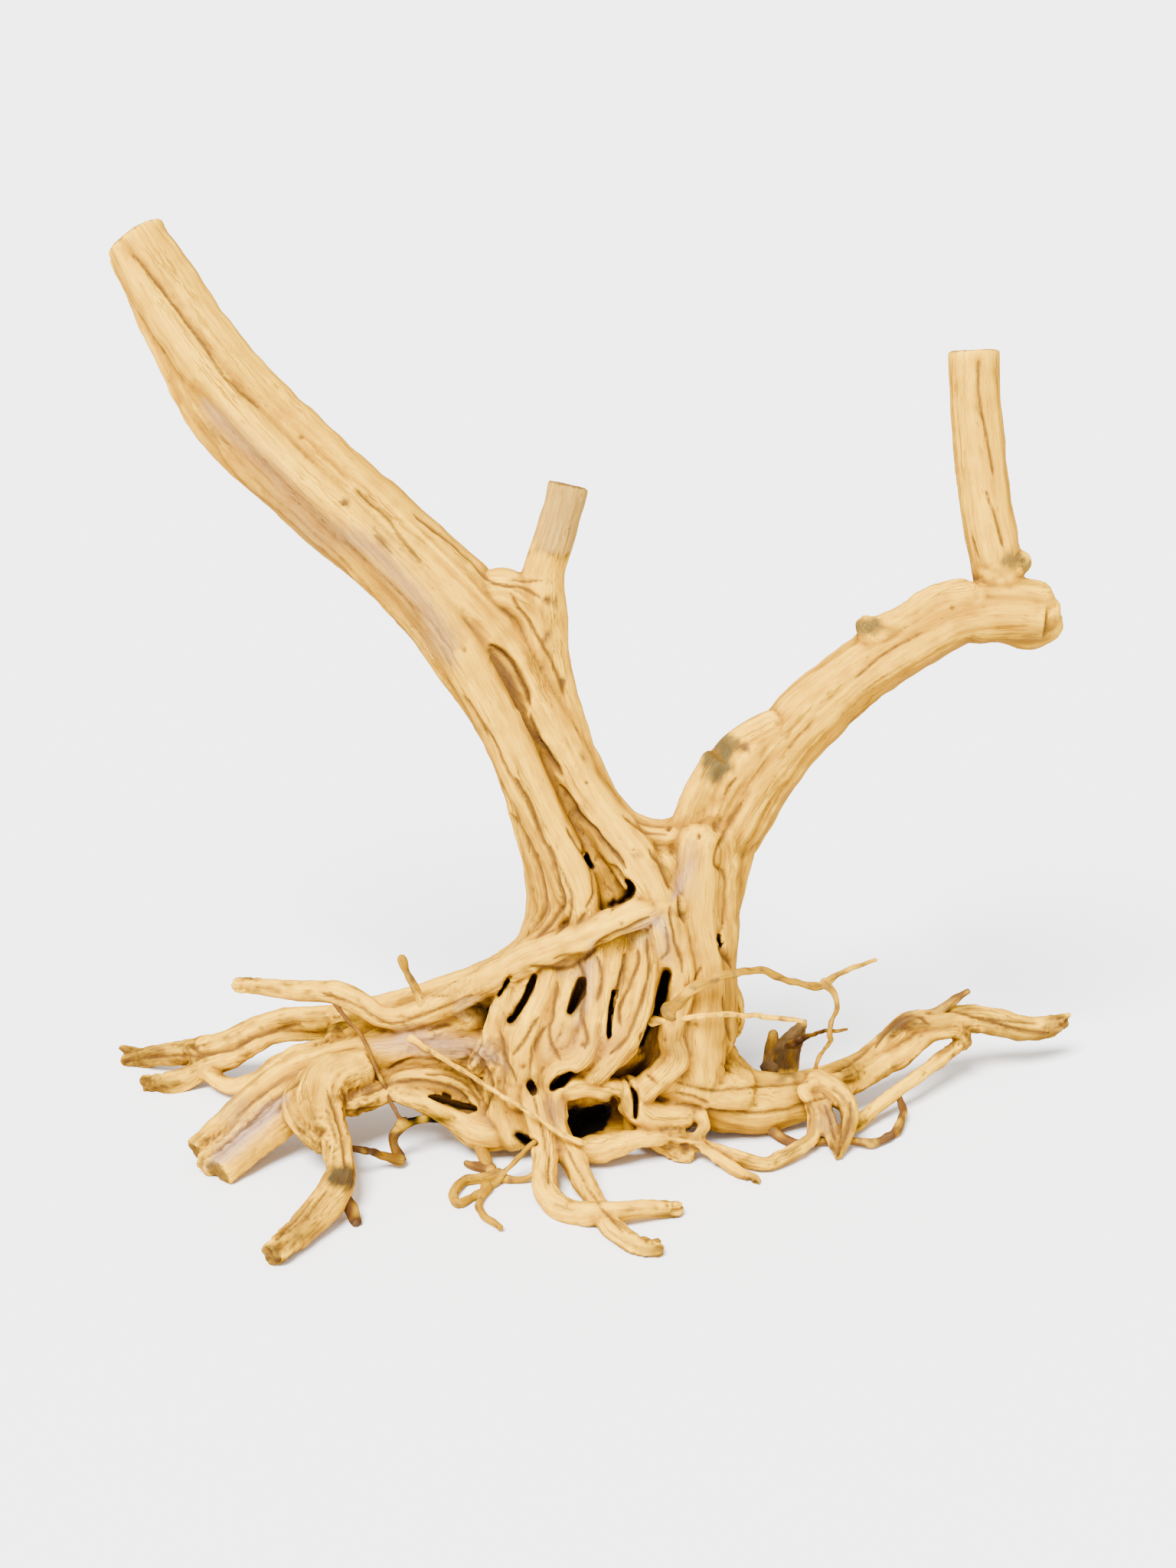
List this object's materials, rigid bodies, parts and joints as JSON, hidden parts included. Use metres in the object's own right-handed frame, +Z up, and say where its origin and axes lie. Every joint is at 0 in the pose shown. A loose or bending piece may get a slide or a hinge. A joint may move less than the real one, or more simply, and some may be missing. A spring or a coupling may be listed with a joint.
{
  "type": "driftwood",
  "caption": "Standing piece of bleached driftwood: a twisted root crown with two sawn limbs, a short stub between them and a spread of slender roots it stands on.",
  "frame": {"origin": "centre of the wood's bounding box, on the level floor it stands on", "axes": "+Z up, +X to the wood's right as seen from its front, towards the limb with the upright stub, +Y to its back"},
  "size_m": [0.5176, 0.2818, 0.4646],
  "materials": {
    "bleached_wood": "dry, weathered and sanded by water, softly polished on the ridges"
  },
  "bodies": {
    "root": {"driftwood": "bleached_wood"}
  },
  "joints": []
}
